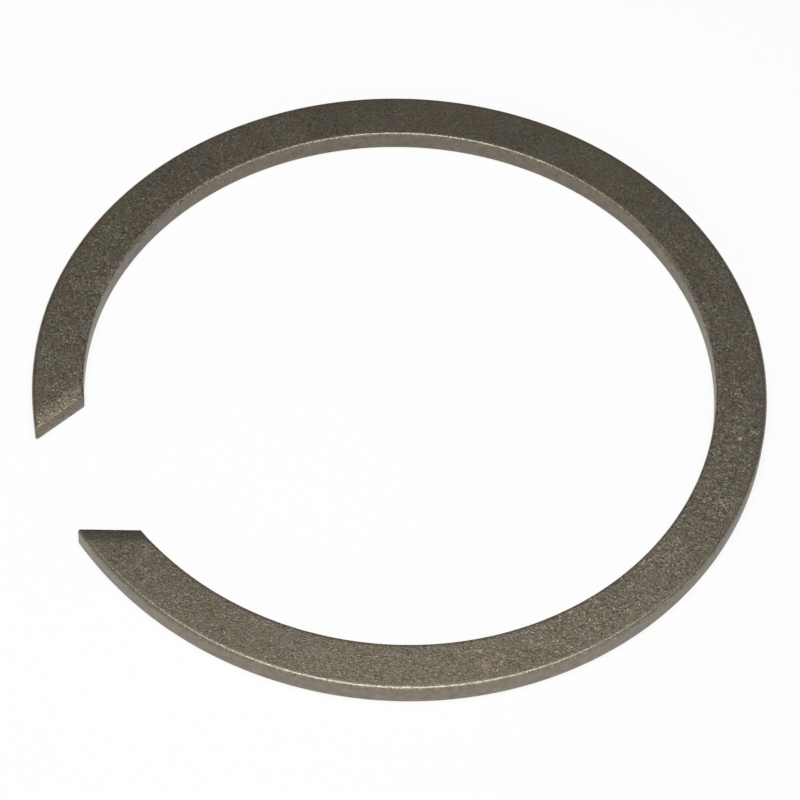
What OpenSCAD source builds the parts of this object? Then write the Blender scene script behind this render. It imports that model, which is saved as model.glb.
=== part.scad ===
/* [Ring] */
// Outer diameter of the ring as it lies free, in mm
outer_d = 80; // [64:0.5:120]
// Width of the flat section, from the inner wall to the outer wall, in mm
radial_w = 5.6; // [3.5:0.1:7]
// Thickness of the section along the axis, in mm
thickness = 2.5; // [1.6:0.1:4]
// Radius of the roundness that tumbling leaves on every edge, in mm
edge_r = 0.3; // [0.1:0.05:0.6]

/* [Gap] */
// Opening between the tips of the two ends, measured at the outer wall, in mm
gap_w = 13.9; // [6:0.1:18]
// Angle of each end face to the centre line of the gap, in degrees
end_angle = 21.5; // [0:0.5:30]
// Radius in plan of the corners of each end, in mm
corner_r = 0.25; // [0.2:0.05:0.8]

/* [Hidden] */
$fn = 180;

outer_r = outer_d / 2;
inner_r = outer_r - radial_w;
// How far a cutter runs past the metal
clear = 1;
// What the rough gap leaves on each end face, half of what the finishing cut can take off
stock = clear / 2;
// How many times larger a radius is than its centre's distance from the two walls, so that it crosses both
spread = 1.05;
// Distance of those centres from the walls, at the corners of the ends and along the edges of the end faces
corner_in = corner_r / spread;
edge_in = edge_r / spread;

// The right-hand end is described in a frame turned by end_angle, where its end face is the plane x = face_x
tip_depth = sqrt(pow(outer_r, 2) - pow(gap_w / 2, 2));
face_x = gap_w / 2 * cos(end_angle) + tip_depth * sin(end_angle);
// In that frame, a point of the plane at a given x that lies on a circle about the ring's axis
function on_circle(x, r) = [x, -sqrt(pow(r, 2) - pow(x, 2))];
// The outer corner of the end is its tip and the inner corner is its heel, both taken as sharp
tip = on_circle(face_x, outer_r);
heel = on_circle(face_x, inner_r);
// Centres of the radius at the tip and of the radius at the heel
tip_centre = on_circle(face_x + corner_in, outer_r - corner_in);
heel_centre = on_circle(face_x + corner_in, inner_r + corner_in);

// Depth of the two heels below the ring's axis, and half the width of the rough gap at any such depth
heel_depth = heel.x * sin(end_angle) - heel.y * cos(end_angle);
function rough_half(depth) = (face_x - stock - depth * sin(end_angle)) / cos(end_angle);

// Section of the flat strip, with its four edges rolled over
module strip_section() {
    translate([edge_r, 0])
        square([radial_w - 2 * edge_r, thickness]);
    translate([0, edge_r])
        square([radial_w, thickness - 2 * edge_r]);
    for (x = [edge_r, radial_w - edge_r], y = [edge_r, thickness - edge_r])
        translate([x, y])
            circle(r = edge_r);
}

// Rough opening of dovetail shape, narrower at the outer wall than at the inner wall
module rough_gap() {
    outside = outer_r + clear;
    inside = heel_depth - clear;
    translate([0, 0, -clear])
        linear_extrude(thickness + 2 * clear)
            polygon([
                [-rough_half(outside), -outside],
                [rough_half(outside), -outside],
                [rough_half(inside), -inside],
                [-rough_half(inside), -inside]
            ]);
}

// The last of the strip seen along its end face, which is flat between two rolled edges
module end_profile() {
    intersection() {
        translate([0, -clear])
            square([edge_r, thickness + 2 * clear]);
        union() {
            translate([0, edge_in])
                square([edge_r, thickness - 2 * edge_in]);
            for (y = [edge_in, thickness - edge_in])
                translate([edge_in, y])
                    circle(r = edge_r);
        }
    }
}

// Profile of the finishing cut, which is everything around that end
module face_profile() {
    difference() {
        translate([-clear, -clear])
            square([clear + edge_in, thickness + 2 * clear]);
        end_profile();
    }
}

// Finishing cut along one end face, run out past the tip and the heel
module face_cut() {
    run_out = 2 * clear;
    translate([face_x, heel.y + run_out, 0])
        rotate([90, 0, 0])
            linear_extrude(heel.y - tip.y + 2 * run_out)
                face_profile();
}

// What comes off one corner, between the end face and the outer or the inner wall
module corner_cut(corner, centre) {
    outwards = (corner - centre) / norm(corner - centre);
    along_wall = sign(norm(corner) - norm(centre)) * centre / norm(centre);
    translate([0, 0, -clear])
        linear_extrude(thickness + 2 * clear)
            difference() {
                polygon([
                    centre,
                    centre - [corner_in + clear, 0],
                    corner + clear * outwards,
                    centre + along_wall * (corner_in + clear)
                ]);
                translate(centre)
                    circle(r = corner_r);
            }
}

// Places what is described in the frame of the right-hand end, and its mirror image at the left-hand end
module at_both_ends() {
    for (side = [0, 1])
        mirror([side, 0, 0])
            rotate([0, 0, -end_angle])
                children();
}

// The strip coiled on edge into a ring, with its gap roughly open
module open_ring() {
    difference() {
        rotate_extrude()
            translate([inner_r, 0])
                strip_section();
        rough_gap();
    }
}

// The same ring with its two end faces finished
module faced_ring() {
    difference() {
        open_ring();
        at_both_ends()
            face_cut();
    }
}

// Snap ring: one piece of spring steel, with the corners of its two ends rounded over
module snap_ring() {
    color("#6b655a")
        difference() {
            faced_ring();
            at_both_ends() {
                corner_cut(tip, tip_centre);
                corner_cut(heel, heel_centre);
            }
        }
}

snap_ring();
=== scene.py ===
import math

import bpy
from mathutils import Matrix, Vector


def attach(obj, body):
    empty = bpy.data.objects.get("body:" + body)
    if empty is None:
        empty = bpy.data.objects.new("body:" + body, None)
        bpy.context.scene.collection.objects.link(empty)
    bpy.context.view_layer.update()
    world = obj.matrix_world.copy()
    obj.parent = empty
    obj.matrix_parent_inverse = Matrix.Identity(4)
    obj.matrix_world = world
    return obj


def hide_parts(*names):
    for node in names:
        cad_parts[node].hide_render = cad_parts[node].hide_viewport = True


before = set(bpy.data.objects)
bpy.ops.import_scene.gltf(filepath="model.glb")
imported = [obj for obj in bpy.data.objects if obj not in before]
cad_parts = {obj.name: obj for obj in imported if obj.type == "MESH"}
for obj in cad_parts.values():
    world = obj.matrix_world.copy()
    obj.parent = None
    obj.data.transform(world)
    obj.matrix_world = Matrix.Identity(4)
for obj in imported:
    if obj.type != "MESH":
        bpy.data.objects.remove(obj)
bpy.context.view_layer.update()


# Camera. It looks down on the ring from the side, with the gap at the left, through a long lens
# that flattens the circle evenly. It is held a little out of level.
AIM = Vector((0.00131, -0.00056, 0))
CAMERA_AZIMUTH = math.radians(66.483)
CAMERA_ELEVATION = math.radians(53.849)
CAMERA_DISTANCE = 0.4126
CAMERA_ROLL = math.radians(2.826)
# In millimetres, as Blender's cameras have it
CAMERA_LENS = 170.04
CAMERA_SENSOR = 36

towards_camera = Vector((
    math.sin(CAMERA_AZIMUTH) * math.cos(CAMERA_ELEVATION),
    -math.cos(CAMERA_AZIMUTH) * math.cos(CAMERA_ELEVATION),
    math.sin(CAMERA_ELEVATION),
))
camera = bpy.data.objects.new("camera", bpy.data.cameras.new("camera"))
camera.data.lens = CAMERA_LENS
camera.data.sensor_width = CAMERA_SENSOR
camera.data.clip_start = 0.01
camera.data.clip_end = 10
camera.matrix_world = (
    Matrix.Translation(AIM + towards_camera * CAMERA_DISTANCE)
    @ towards_camera.to_track_quat("Z", "Y").to_matrix().to_4x4()
    @ Matrix.Rotation(CAMERA_ROLL, 4, "Z")
)
bpy.context.scene.collection.objects.link(camera)
bpy.context.scene.camera = camera


# Snap ring. One strip of flat spring steel, coiled on edge and cut to length at a slant, then
# hardened and tumbled in grit until every edge is rolled over. Nothing holds it but its own spring
# in the groove.
OUTER_RADIUS = 0.040
WIDTH = 0.0056
THICKNESS = 0.0025
GAP = 0.0139
END_ANGLE = math.radians(21.5)
EDGE_RADIUS = 0.0003
CORNER_RADIUS = 0.0002
# On the upper side the outer edge is rolled over further than the others, and the edge of each
# cut less
OUTER_ROLL = 0.00043
CUT_ROLL = 0.00015
# The shears that cut the strip pull its upper face down towards the cut, by this much within this
# reach, and leave the cut leaning, so that its upper edge stands this far proud
END_DROOP = 0.0002
DROOP_REACH = 0.0016
CUT_LEAN = 0.00016
# The droop and the lean grow with the nearness to the cut to these powers
DROOP_CURVE = 1.5
LEAN_CURVE = 2
# The free ring isn't quite round but has three faint lobes, one of them at this turn from the back
OUT_OF_ROUND = 0.000084
LOBES = 3
LOBE_TURN = math.radians(-25.5)
# Its last stretch at each end, from this turn on, springs outwards by this much at the tip
END_FLARE = 0.00013
FLARE_TURN = math.radians(148)
FLARE_CURVE = 3
# Tumbling leaves the surface uneven by a hundredth of a millimetre, in hollows about this far apart
UNEVENNESS = 0.00002
HOLLOW_SIZE = 0.0014

# Steps of the mesh along half the ring, round a corner, across an end, over a rolled edge and down
# a wall
ARC_STEPS = 240
CORNER_STEPS = 8
END_STEPS = 10
ROLL_STEPS = 6
WALL_STEPS = 4
# How much closer the steps along the ring lie near its ends, 1 being even
CROWDING = 1.5
# Width of the flat band that parts each rolled edge from the wide faces of the mesh
FLAT_BAND = 0.00015
# Points of two sheets that lie closer than this are one point
MERGE_DISTANCE = 1e-6


class Value:
    """A value in a node tree, on which Python's operators add Math nodes."""

    def __init__(self, graph, socket):
        self.graph = graph
        self.socket = socket

    def __add__(self, other):
        return self.graph.maths("ADD", self, other)

    def __radd__(self, other):
        return self.graph.maths("ADD", other, self)

    def __sub__(self, other):
        return self.graph.maths("SUBTRACT", self, other)

    def __rsub__(self, other):
        return self.graph.maths("SUBTRACT", other, self)

    def __mul__(self, other):
        return self.graph.maths("MULTIPLY", self, other)

    def __rmul__(self, other):
        return self.graph.maths("MULTIPLY", other, self)

    def __truediv__(self, other):
        return self.graph.maths("DIVIDE", self, other)

    def __rtruediv__(self, other):
        return self.graph.maths("DIVIDE", other, self)

    def __pow__(self, other):
        return self.graph.maths("POWER", self, other)

    def __neg__(self):
        return self.graph.maths("MULTIPLY", self, -1)

    def __abs__(self):
        return self.graph.maths("ABSOLUTE", self)


class Graph:
    """A node tree that is filled from Python expressions."""

    def __init__(self, tree):
        self.tree = tree

    def add(self, kind, settings=None, values=None, output=0):
        """Adds a node: its settings, then its sockets' values or links. Returns one output."""
        node = self.tree.nodes.new(kind)
        for name, setting in (settings or {}).items():
            if name == "stops":
                for stop in setting[2:]:
                    node.color_ramp.elements.new(stop[0])
                for element, (place, colour) in zip(node.color_ramp.elements, setting):
                    element.position = place
                    element.color = colour
            else:
                setattr(node, name, setting)
        for key, value in (values or {}).items():
            sockets = [s for s in node.inputs if s.enabled]
            if isinstance(key, int):
                socket = sockets[key]
            else:
                socket = next(s for s in sockets if s.name == key)
            for single in (value if isinstance(value, list) else [value]):
                if isinstance(single, Value):
                    self.tree.links.new(single.socket, socket)
                else:
                    socket.default_value = single
        outputs = [s for s in node.outputs if s.enabled]
        if not outputs:
            return None
        if isinstance(output, int):
            return Value(self, outputs[output])
        return Value(self, next(s for s in outputs if s.name == output))

    def maths(self, operation, *values):
        return self.add("ShaderNodeMath", {"operation": operation}, dict(enumerate(values)))

    def between(self, value, low, high, curve="LINEAR"):
        """0 below low, 1 above high."""
        places = {"Value": value, "From Min": low, "From Max": high}
        return self.add("ShaderNodeMapRange", {"interpolation_type": curve}, places)

    def vector(self, x, y, z):
        return self.add("ShaderNodeCombineXYZ", {}, {"X": x, "Y": y, "Z": z})

    def parts(self, vector):
        node = self.add("ShaderNodeSeparateXYZ", {}, {"Vector": vector}).socket.node
        return [Value(self, socket) for socket in node.outputs]


def ring_tree():
    """The rule of the ring's shape: a wall with rolled edges round its outline, and two flat
    faces."""
    tree = bpy.data.node_groups.new("rolled_open_ring", "GeometryNodeTree")
    names = (
        "Outer Radius", "Width", "Thickness", "Gap", "End Angle", "Edge Radius", "Corner Radius",
        "Outer Roll", "Cut Roll", "Cut Lean", "End Droop", "Droop Reach",
        "Out Of Round", "Lobe Turn", "End Flare", "Flare Turn", "Unevenness", "Hollow Size",
    )
    for name in names:
        tree.interface.new_socket(name, in_out="INPUT", socket_type="NodeSocketFloat")
    tree.interface.new_socket("Steel", in_out="INPUT", socket_type="NodeSocketMaterial")
    tree.interface.new_socket("Geometry", in_out="OUTPUT", socket_type="NodeSocketGeometry")
    g = Graph(tree)
    given = tree.nodes.new("NodeGroupInput")
    inputs = [Value(g, socket) for socket in given.outputs[: len(names) + 1]]
    radius, width, thickness, gap, end_angle, edge, corner = inputs[:7]
    outer_roll, cut_roll, cut_lean, droop, droop_reach = inputs[7:12]
    out_of_round, lobe_turn, end_flare, flare_turn, unevenness, hollow_size, steel = inputs[12:]

    def sine(angle):
        return g.maths("SINE", angle)

    def cosine(angle):
        return g.maths("COSINE", angle)

    # The right-hand end face is a plane at this distance from the axis, turned by the end angle
    tip_depth = g.maths("SQRT", radius**2 - (gap / 2) ** 2)
    face_distance = gap / 2 * cosine(end_angle) + tip_depth * sine(end_angle)

    def end_turns(depth):
        """How far the ring reaches on each side when it is cut back by depth all round: its tip,
        then its heel. Turns run clockwise from the back of the ring."""
        distance = face_distance + depth
        tip = math.pi - g.maths("ARCSINE", distance / (radius - depth)) + end_angle
        heel = math.pi - g.maths("ARCSINE", distance / (radius - width + depth)) + end_angle
        return tip, heel

    def core(depth, along_outer, along_inner, across):
        """Point of the ring cut back by depth, between a place on its outer arc and one on its
        inner arc."""
        tip, heel = end_turns(depth)
        outer = (radius - depth) * (1 - across)
        inner = (radius - width + depth) * across
        x = outer * sine(tip * along_outer) + inner * sine(heel * along_inner)
        y = outer * cosine(tip * along_outer) + inner * cosine(heel * along_inner)
        return x, y

    def grid(steps_x, steps_y):
        values = {"Size X": 1, "Size Y": 1, "Vertices X": steps_x + 1, "Vertices Y": steps_y + 1}
        return g.add("GeometryNodeMeshGrid", {}, values)

    place_x, place_y, _ = g.parts(g.add("GeometryNodeInputPosition"))

    # Wall strip: along the outline it passes the outer arc, the tip, the end face, the heel and the
    # inner arc
    loop_steps = 2 * ARC_STEPS + 2 * CORNER_STEPS + END_STEPS
    along = (place_x + 0.5) * loop_steps
    marks = [0, ARC_STEPS, CORNER_STEPS, END_STEPS, CORNER_STEPS, ARC_STEPS]
    starts = [sum(marks[: i + 1]) for i in range(len(marks))]
    outer_arc, tip, end_face, heel, inner_arc = [
        g.between(along, start, stop) for start, stop in zip(starts, starts[1:])
    ]
    outer_arc = 1 - (1 - outer_arc) ** CROWDING
    inner_arc = inner_arc**CROWDING

    # Across the strip it passes the border of the upper face, a rolled edge and the wall, then a
    # rolled edge and the border of the lower face
    profile_steps = 2 + 2 * ROLL_STEPS + WALL_STEPS
    down = (place_y + 0.5) * profile_steps
    marks = [0, 1, ROLL_STEPS, WALL_STEPS, ROLL_STEPS, 1]
    starts = [sum(marks[: i + 1]) for i in range(len(marks))]
    upper_border, upper_roll, wall, lower_roll, lower_border = [
        g.between(down, start, stop) for start, stop in zip(starts, starts[1:])
    ]
    upper_angle = upper_roll * (math.pi / 2)
    lower_angle = lower_roll * (math.pi / 2)
    roll = outer_roll + (cut_roll - outer_roll) * tip + (edge - cut_roll) * heel
    border = g.maths("MAXIMUM", corner, g.maths("MAXIMUM", outer_roll, edge)) + FLAT_BAND
    inset = (
        (border - roll) * (1 - upper_border)
        + roll * (1 - sine(upper_angle))
        + edge * (1 - cosine(lower_angle))
        + (border - edge) * lower_border
    )
    height = (
        thickness
        - roll * (1 - cosine(upper_angle))
        - (thickness - roll - edge) * wall
        - edge * sine(lower_angle)
    )

    # The plan radius of a corner shrinks with the inset, to nothing where the inset is the deeper
    depth = g.maths("MAXIMUM", corner, inset)
    core_x, core_y = core(depth, outer_arc, 1 - inner_arc, end_face)
    tip_turn, heel_turn = end_turns(depth)
    end_turn = end_angle + 1.5 * math.pi
    normal_turn = (
        tip_turn * outer_arc
        + (end_turn - tip_turn) * tip
        + (heel_turn + math.pi - end_turn) * heel
        - heel_turn * inner_arc
    )
    strip_place = g.vector(
        core_x + (depth - inset) * sine(normal_turn),
        core_y + (depth - inset) * cosine(normal_turn),
        height,
    )
    strip = grid(loop_steps, profile_steps)
    strip = g.add("GeometryNodeSetPosition", {}, {"Geometry": strip, "Position": strip_place})

    # Flat faces: everything inside that border, at the bottom and at the top
    share_x = 1 - (0.5 - place_x) ** CROWDING
    share_y = place_y + 0.5
    face_x, face_y = core(border, share_x, share_x, share_y)
    sheet = grid(ARC_STEPS, END_STEPS)
    lower_face, upper_face = [
        g.add(
            "GeometryNodeSetPosition", {},
            {"Geometry": sheet, "Position": g.vector(face_x, face_y, level)},
        )
        for level in (0, thickness)
    ]
    upper_face = g.add("GeometryNodeFlipFaces", {}, {"Mesh": upper_face})

    # The other half is the mirror image, and the seams between all the sheets are merged
    half = g.add("GeometryNodeJoinGeometry", {}, {"Geometry": [strip, lower_face, upper_face]})
    mirrored = g.add("GeometryNodeTransform", {}, {"Geometry": half, "Scale": (-1, 1, 1)})
    mirrored = g.add("GeometryNodeFlipFaces", {}, {"Mesh": mirrored})
    whole = g.add("GeometryNodeJoinGeometry", {}, {"Geometry": [half, mirrored]})
    merged = {"Geometry": whole, "Distance": MERGE_DISTANCE}
    whole = g.add("GeometryNodeMergeByDistance", {}, merged)

    # Droop and lean: how far a point is from the nearer end face, and how high it is in the metal
    x, y, z = g.parts(g.add("GeometryNodeInputPosition"))
    from_end = abs(x) * cosine(end_angle) - y * sine(end_angle) - face_distance
    near_end = (1 - g.between(from_end, 0, droop_reach)) * (1 - g.between(y, -radius / 2, 0))
    fall = droop * near_end**DROOP_CURVE * (z / thickness)
    lean = cut_lean * near_end**LEAN_CURVE * (z / thickness)
    whole = g.add(
        "GeometryNodeStoreNamedAttribute",
        {"data_type": "FLOAT", "domain": "POINT"},
        {"Geometry": whole, "Name": "near_end", "Value": near_end},
    )

    # Lobes and flare: the radius swells and shrinks in each lobe, and grows towards the tips
    turn = g.maths("ARCTAN2", x, y)
    last_turn = math.pi - g.maths("ARCSINE", gap / 2 / radius)
    flare = g.between(abs(turn), flare_turn, last_turn) ** FLARE_CURVE
    swell = out_of_round * cosine((turn - lobe_turn) * LOBES) + end_flare * flare

    # Hollows, always inwards
    noise = g.add("ShaderNodeTexNoise", {}, {"Scale": 1 / hollow_size, "Detail": 2.0})
    dent = noise * unevenness
    normal_x, normal_y, normal_z = g.parts(g.add("GeometryNodeInputNormal"))
    offset = g.vector(
        sine(turn) * swell - normal_x * dent - g.maths("SIGN", x) * cosine(end_angle) * lean,
        cosine(turn) * swell - normal_y * dent + sine(end_angle) * lean,
        -fall - normal_z * dent,
    )
    whole = g.add("GeometryNodeSetPosition", {}, {"Geometry": whole, "Offset": offset})
    whole = g.add("GeometryNodeSetShadeSmooth", {}, {"Geometry": whole})
    whole = g.add("GeometryNodeRealizeInstances", {}, {"Geometry": whole})
    whole = g.add("GeometryNodeSetMaterial", {}, {"Geometry": whole, "Material": steel})
    result = tree.nodes.new("NodeGroupOutput")
    tree.links.new(whole.socket, result.inputs[0])
    return tree


# Colours of the tumbled grain by the height of its tone, from the deepest pits to the brightest
# specks
GRAIN_COLOURS = [
    (0.2, (0.093, 0.08, 0.061, 1)),
    (0.4, (0.179, 0.156, 0.117, 1)),
    (0.5, (0.22, 0.192, 0.146, 1)),
    (0.6, (0.265, 0.233, 0.181, 1)),
    (0.7, (0.33, 0.298, 0.238, 1)),
    (0.86, (0.64, 0.605, 0.5, 1)),
]
# The grain's hue wanders between the first two of these tints, and between the last two
OLIVE_TINT = (0.915, 1.03, 0.985, 1)
RED_TINT = (1.13, 0.975, 0.96, 1)
STRAW_TINT = (1.01, 1.0, 0.89, 1)
GREY_TINT = (0.97, 1.01, 1.16, 1)
# Satin of the walls, its pits, and the painted shade that the two walls are multiplied by, deeper
# on the inner wall
SATIN_DARK = (0.2, 0.174, 0.139, 1)
SATIN_LIGHT = (0.29, 0.254, 0.204, 1)
SATIN_PIT = (0.1, 0.088, 0.07, 1)
INNER_WALL_PAINTED_SHADE = (0.74, 0.73, 0.72, 1)
OUTER_WALL_PAINTED_SHADE = (0.95, 0.945, 0.94, 1)
# The cut faces, paler low down and browner higher up, and the browner faces beside them
CUT_LOW_COLOUR = (0.24, 0.215, 0.185, 1)
CUT_HIGH_COLOUR = (0.2, 0.165, 0.124, 1)
END_BROWN = (0.17, 0.143, 0.1, 1)
# Bare steel of the edges, which also carries the highlight painted along them
BARE_STEEL_HIGHLIGHT = (0.38, 0.36, 0.31, 1)
RUST_BROWN = (0.33, 0.2, 0.075, 1)
NICK_BRIGHT = (0.85, 0.84, 0.8, 1)

# Sizes of the patterns in the surface: pits, grain, patches of each finish and of the painted
# highlight, and wide clouds
FINE_SIZE = 0.00015
GRAIN_SIZE = 0.00024
COARSE_SIZE = 0.00055
RED_SIZE = 0.00045
STRAW_SIZE = 0.0006
BARE_AND_HIGHLIGHT_SIZE = 0.0005
SATIN_SIZE = 0.0009
BUSY_SIZE = 0.0025
CLOUD_SIZE = 0.004
# How strong the clouds and the pits' shading are, and how deep the pits are
CLOUD_STRENGTH = 0.08
BUMP_STRENGTH = 0.6
BUMP_DEPTH = 0.000035

# A normal's slope is 0 on a wall and 1 on a face. These are its limits for the walls, for the
# beginning of the edges that rubbing bares and that carry a painted highlight, and for their end.
WALL_SLOPE = (0.05, 0.45)
RUBBED_SLOPE = (0.4, 0.75)
FACE_SLOPE = (0.955, 0.995)
# How near the end a wall is a cut face, and the heights between which it turns from paler to
# browner
CUT_NEARNESS = (0.8, 0.95)
CUT_CHANGE_HEIGHT = (0.0005, 0.0011)
# Distances from the outer wall between which the grain gains its full strength
CALM_BORDER = (0.0004, 0.0013)
# The grain is strongest at this turn from the back and opposite it
STRONG_TURN = math.radians(35)
# Where the outer wall turns darker, where it is less so again, and where painted light makes the
# faces brighter, as shares of the distance from the axis, backwards and to the right
DARKER_FROM = (0.2, 0.6)
DARKER_TO = (0.75, 0.95)
PAINTED_LIGHT_FROM = (0.5, 0.9)
# Tones below which the satin has a pit, and above which rubbing bares an edge and the painted
# highlight on it is full
PIT_TONE = (0.24, 0.34)
BARE_AND_HIGHLIGHT_TONE = (0.4, 0.62)
# Distances from the axis towards the gap between which the rubbing and its painted highlight fade
# out
RUB_AND_HIGHLIGHT_FADE = (0.022, 0.04)

# How much of each finish shows, of the darker stretch of wall, and of the painted highlight on the
# edges
END_BROWNING = 0.3
STRETCH_DARKENING = 0.65
BARING_AND_HIGHLIGHT = 0.68
RUSTING = 0.8
# Roughness of the grain, and what the walls, the cuts, bare steel and the pits add to it
ROUGHNESS = 0.47
WALL_ROUGHNESS = -0.05
CUT_ROUGHNESS = 0.08
BARE_ROUGHNESS = -0.02
PIT_ROUGHNESS = 0.2

# Where a spot of rust and a bright nick lie on the upper face, and how large they are
RUST_X, RUST_Y, RUST_SIZE = 0.0377, -0.0053, 0.00044
NICK_X, NICK_Y, NICK_SIZE = 0.0204, 0.0313, 0.00024


def spring_steel():
    """Hardened steel with a tumbled grain on its faces, satin walls, dull cut ends and edges bright
    from rubbing and from a painted highlight, with painted shade on the walls and painted light on
    one side of the faces."""
    material = bpy.data.materials.new("spring_steel_tumbled")
    material.use_nodes = True
    material.node_tree.nodes.clear()
    g = Graph(material.node_tree)
    place = g.add("ShaderNodeTexCoord", output="Object")
    normal = g.add("ShaderNodeTexCoord", output="Normal")
    slope = abs(g.parts(normal)[2])
    x, y, height = g.parts(place)
    from_axis = g.maths("SQRT", x**2 + y**2)
    near_end = g.add("ShaderNodeAttribute", {"attribute_name": "near_end"}, output="Fac")

    def noise(size, detail=1.0):
        """Cloudy pattern from 0 to 1 whose patches are about one size across, in metres. The
        noise behind it seldom leaves the middle half of its range."""
        values = {"Vector": place, "Scale": 1 / size, "Detail": detail}
        return g.between(g.add("ShaderNodeTexNoise", {}, values), 0.25, 0.75)

    def mix(factor, first, second, blend="MIX"):
        values = {"Factor": factor, "A": first, "B": second}
        return g.add("ShaderNodeMix", {"data_type": "RGBA", "blend_type": blend}, values)

    def times(first, second):
        return mix(1.0, first, second, "MULTIPLY")

    def grey(level):
        return (level, level, level, 1)

    # Masks: the walls, the cut ends, the edges between face and wall that rubbing bares and that
    # carry a painted highlight, and the outer side of the ring
    wall = 1 - g.between(slope, *WALL_SLOPE, "SMOOTHSTEP")
    cut = wall * g.between(near_end, *CUT_NEARNESS)
    coiled = wall - cut
    flat = g.between(slope, *FACE_SLOPE, "SMOOTHSTEP")
    rubbed_and_highlit = g.between(slope, *RUBBED_SLOPE, "SMOOTHSTEP") * (1 - flat)
    outside = g.between(from_axis, OUTER_RADIUS - WIDTH * 0.6, OUTER_RADIUS - WIDTH * 0.4)

    # Grain of the tumbled surface, from the finest pits to patches a few millimetres wide. It is
    # calmer along the outer border of each face, stronger in some patches than in others, and
    # strongest at two opposite places of the ring.
    grain = noise(GRAIN_SIZE)
    relief = noise(FINE_SIZE) * 0.4 + grain * 0.45 + noise(COARSE_SIZE) * 0.15
    full = g.between(OUTER_RADIUS - from_axis, *CALM_BORDER)
    busy = 0.5 + 0.3 * full + 0.4 * noise(BUSY_SIZE, 2.0)
    lengthwise = (x * math.sin(STRONG_TURN) + y * math.cos(STRONG_TURN)) / from_axis
    busy = busy * (0.8 + 0.4 * lengthwise**2)
    clouds = (noise(CLOUD_SIZE, 3.0) - 0.5) * CLOUD_STRENGTH
    tone = 0.5 + (relief - 0.5) * busy + clouds

    # The faces are browner beside the cuts, and painted brighter on the right-hand side of the
    # ring, towards the soft box
    faces = g.add("ShaderNodeValToRGB", {"stops": GRAIN_COLOURS}, {"Fac": tone}, output="Color")
    # Painted light on the faces towards the soft box
    painted_light = g.between(x / from_axis, *PAINTED_LIGHT_FROM, "SMOOTHSTEP")
    faces = times(faces, mix(painted_light, grey(0.97), grey(1.08)))
    faces = mix(near_end * END_BROWNING, faces, END_BROWN)

    # The walls are a satin with few pits under a painted shade, deeper on the inner wall, and the
    # outer one is darker on a stretch of the back
    satin = mix(noise(SATIN_SIZE, 3.0), SATIN_DARK, SATIN_LIGHT)
    # Painted shade: the inner wall darker than the outer
    satin = times(satin, mix(outside, INNER_WALL_PAINTED_SHADE, OUTER_WALL_PAINTED_SHADE))
    satin = mix(1 - g.between(tone, *PIT_TONE), satin, SATIN_PIT)
    backwards = y / from_axis
    # A stretch of the outer wall towards the back is darkened towards the pit colour
    darker_stretch = outside * g.between(backwards, *DARKER_FROM) * (1 - 0.7 * g.between(backwards, *DARKER_TO))
    satin = mix(darker_stretch * STRETCH_DARKENING, satin, SATIN_PIT)

    # Each cut is paler in its lower part and browner above it
    cut_faces = mix(g.between(height, *CUT_CHANGE_HEIGHT), CUT_LOW_COLOUR, CUT_HIGH_COLOUR)
    cut_faces = times(cut_faces, mix(relief, grey(0.35), grey(1.65)))
    colour = mix(wall, faces, mix(cut, satin, cut_faces))

    # The grain's hue wanders, less so on the walls
    reds = mix(noise(RED_SIZE), OLIVE_TINT, RED_TINT)
    straws = mix(noise(STRAW_SIZE), STRAW_TINT, GREY_TINT)
    colour = mix(1 - coiled * 0.6, colour, times(colour, times(reds, straws)))

    # Rubbing bares brighter steel along the edges, and a highlight is painted there with it, not
    # evenly, and weaker on the inner side and towards the ends
    bared_and_highlight = rubbed_and_highlit * (0.25 + 0.75 * g.between(noise(BARE_AND_HIGHLIGHT_SIZE) * 0.6 + relief * 0.4, *BARE_AND_HIGHLIGHT_TONE))
    bared_and_highlight = bared_and_highlight * (0.6 + 0.4 * outside) * (1 - 0.75 * g.between(-y, *RUB_AND_HIGHLIGHT_FADE))
    # The edges take bare steel colour, worn and with a painted highlight
    colour = mix(bared_and_highlight * BARING_AND_HIGHLIGHT, colour, BARE_STEEL_HIGHLIGHT)

    def spot(x, y, size):
        """A small mark on the upper face, full in its middle and fading out at a ragged rim."""
        values = {0: place, 1: (x, y, THICKNESS)}
        away = g.add("ShaderNodeVectorMath", {"operation": "DISTANCE"}, values, output="Value")
        return 1 - g.between(away + size * 0.8 * grain, size * 0.6, size * 1.6, "SMOOTHSTEP")

    # One spot of rust and one bright nick
    rust = spot(RUST_X, RUST_Y, RUST_SIZE)
    colour = mix(rust * RUSTING, colour, RUST_BROWN)
    colour = mix(spot(NICK_X, NICK_Y, NICK_SIZE), colour, NICK_BRIGHT)

    # Walls and bare edges are a little smoother than the grain, cuts and pits rougher
    roughness = ROUGHNESS + coiled * WALL_ROUGHNESS + cut * CUT_ROUGHNESS + bared_and_highlight * BARE_ROUGHNESS
    roughness = roughness + (0.5 - relief) * PIT_ROUGHNESS
    uneven = (relief - 0.5) * (1 - 0.7 * coiled)
    values = {"Strength": BUMP_STRENGTH, "Distance": BUMP_DEPTH, "Height": uneven}
    bump = g.add("ShaderNodeBump", {}, values)
    shader = g.add(
        "ShaderNodeBsdfPrincipled", {},
        {"Base Color": colour, "Metallic": 1 - rust * 0.9, "Roughness": roughness, "Normal": bump},
    )
    g.add("ShaderNodeOutputMaterial", {}, {"Surface": shader})
    return material


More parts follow.
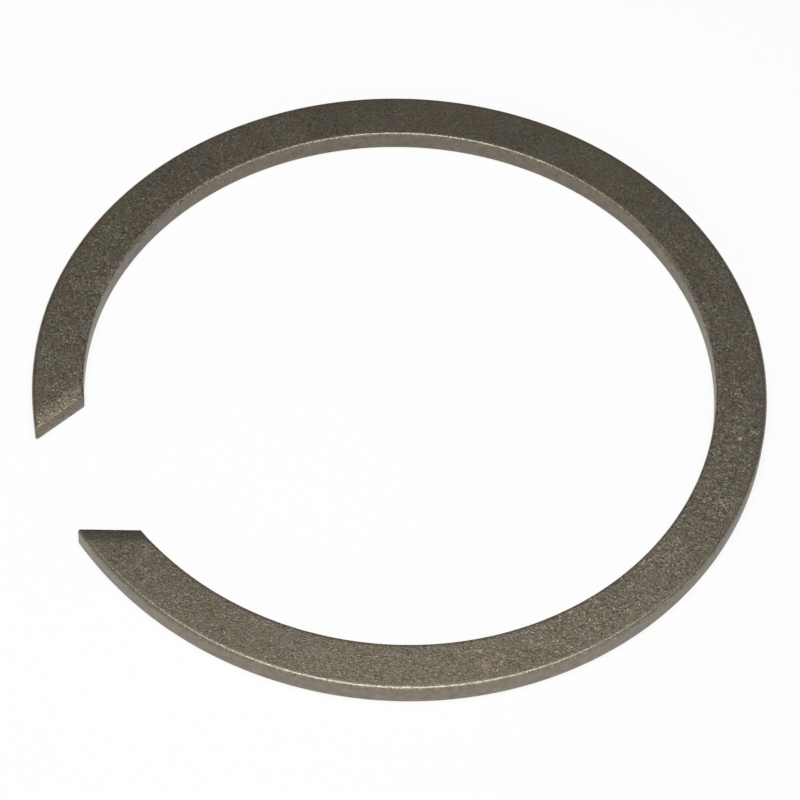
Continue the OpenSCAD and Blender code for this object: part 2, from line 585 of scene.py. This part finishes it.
steel = spring_steel()
tree = ring_tree()
growing = bpy.data.objects.new("ring_rule", bpy.data.meshes.new("ring_rule"))
bpy.context.scene.collection.objects.link(growing)
rule = growing.modifiers.new("shape", "NODES")
rule.node_group = tree
sizes = {
    "Outer Radius": OUTER_RADIUS,
    "Width": WIDTH,
    "Thickness": THICKNESS,
    "Gap": GAP,
    "End Angle": END_ANGLE,
    "Edge Radius": EDGE_RADIUS,
    "Corner Radius": CORNER_RADIUS,
    "Outer Roll": OUTER_ROLL,
    "Cut Roll": CUT_ROLL,
    "Cut Lean": CUT_LEAN,
    "End Droop": END_DROOP,
    "Droop Reach": DROOP_REACH,
    "Out Of Round": OUT_OF_ROUND,
    "Lobe Turn": LOBE_TURN,
    "End Flare": END_FLARE,
    "Flare Turn": FLARE_TURN,
    "Unevenness": UNEVENNESS,
    "Hollow Size": HOLLOW_SIZE,
    "Steel": steel,
}
for item in tree.interface.items_tree:
    if item.in_out == "INPUT":
        rule[item.identifier] = sizes[item.name]
evaluated = growing.evaluated_get(bpy.context.evaluated_depsgraph_get())
ring_mesh = bpy.data.meshes.new_from_object(evaluated)
bpy.data.objects.remove(growing)
ring = bpy.data.objects.new("tumbled_ring", ring_mesh)
bpy.context.scene.collection.objects.link(ring)
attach(ring, "root")
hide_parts("snap_ring")


# Floor. A sheet of plain white card under the ring, large enough to fill every view. It renders as
# white, to the camera and in the steel, and still takes the ring's shadow.
FLOOR_REACH = 10.0
FLOOR_LEVEL = -0.00002
CARD_WHITE = (0.97, 0.97, 0.97, 1)
# Share of the card's own white over what light falls on it
CARD_GLOW = 0.85


def white_card():
    material = bpy.data.materials.new("white_card")
    material.use_nodes = True
    material.node_tree.nodes.clear()
    g = Graph(material.node_tree)
    diffuse = g.add("ShaderNodeBsdfDiffuse", {}, {"Color": CARD_WHITE})
    glow = g.add("ShaderNodeEmission", {}, {"Color": (1, 1, 1, 1), "Strength": 1.0})
    seen = g.add("ShaderNodeLightPath", output="Is Camera Ray")
    mirrored = g.add("ShaderNodeLightPath", output="Is Glossy Ray")
    factor = (seen + mirrored) * CARD_GLOW
    shader = g.add("ShaderNodeMixShader", {}, {0: factor, 1: diffuse, 2: glow})
    g.add("ShaderNodeOutputMaterial", {}, {"Surface": shader})
    return material


floor_mesh = bpy.data.meshes.new("floor")
corners = [(-1, -1), (1, -1), (1, 1), (-1, 1)]
floor_points = [(x * FLOOR_REACH, y * FLOOR_REACH, FLOOR_LEVEL) for x, y in corners]
floor_mesh.from_pydata(floor_points, [], [(0, 1, 2, 3)])
floor_mesh.materials.append(white_card())
floor = bpy.data.objects.new("floor", floor_mesh)
bpy.context.scene.collection.objects.link(floor)


# Light. A soft box hangs over the camera's side of the ring, so that the near edge catches it and
# the far side falls off. The room is pale at the horizon and dark overhead, less so on the
# camera's side.
BOX_HEIGHT = 0.4
BOX_SIZE = 0.29
BOX_SPREAD = math.radians(80)
BOX_POWER = 0.365
# How far towards the camera and to its left the box hangs, and the place on the floor it points at
BOX_ACROSS, BOX_ASIDE = 0.072, 0.014
AIM_ACROSS, AIM_ASIDE = 0.014, 0.022
# Heights between which the room darkens, how much higher they lie on the camera's side, and how
# dark it gets
PALE_HEIGHT, DARK_HEIGHT = -0.25, 0.32
CAMERA_SIDE_RISE = 0.5
CAMERA_SIDE = (-0.7, 0.7)
DARKENING = 0.9

across = Vector((math.sin(CAMERA_AZIMUTH), -math.cos(CAMERA_AZIMUTH), 0))
aside = Vector((-math.cos(CAMERA_AZIMUTH), -math.sin(CAMERA_AZIMUTH), 0))
lamp_place = across * BOX_ACROSS + aside * BOX_ASIDE + Vector((0, 0, BOX_HEIGHT))
lamp_aim = across * AIM_ACROSS + aside * AIM_ASIDE
lamp = bpy.data.objects.new("top_box", bpy.data.lights.new("top_box", "AREA"))
lamp.data.shape = "SQUARE"
lamp.data.size = BOX_SIZE
lamp.data.spread = BOX_SPREAD
lamp.data.energy = BOX_POWER
lamp_turn = (lamp_place - lamp_aim).to_track_quat("Z", "Y").to_matrix().to_4x4()
lamp.matrix_world = Matrix.Translation(lamp_place) @ lamp_turn
bpy.context.scene.collection.objects.link(lamp)

world = bpy.data.worlds.new("room")
world.use_nodes = True
world.node_tree.nodes.clear()
room = Graph(world.node_tree)
x, y, height = room.parts(room.add("ShaderNodeTexCoord", output="Generated"))
raised = room.between(x * across.x + y * across.y, *CAMERA_SIDE) * CAMERA_SIDE_RISE
dimming = room.between(height - raised, PALE_HEIGHT, DARK_HEIGHT, "SMOOTHSTEP")
brightness = 1 - DARKENING * dimming
background = room.add("ShaderNodeBackground", {}, {"Color": (1, 1, 1, 1), "Strength": brightness})
room.add("ShaderNodeOutputWorld", {}, {"Surface": background})
bpy.context.scene.world = world

bpy.context.scene.view_settings.view_transform = "Standard"
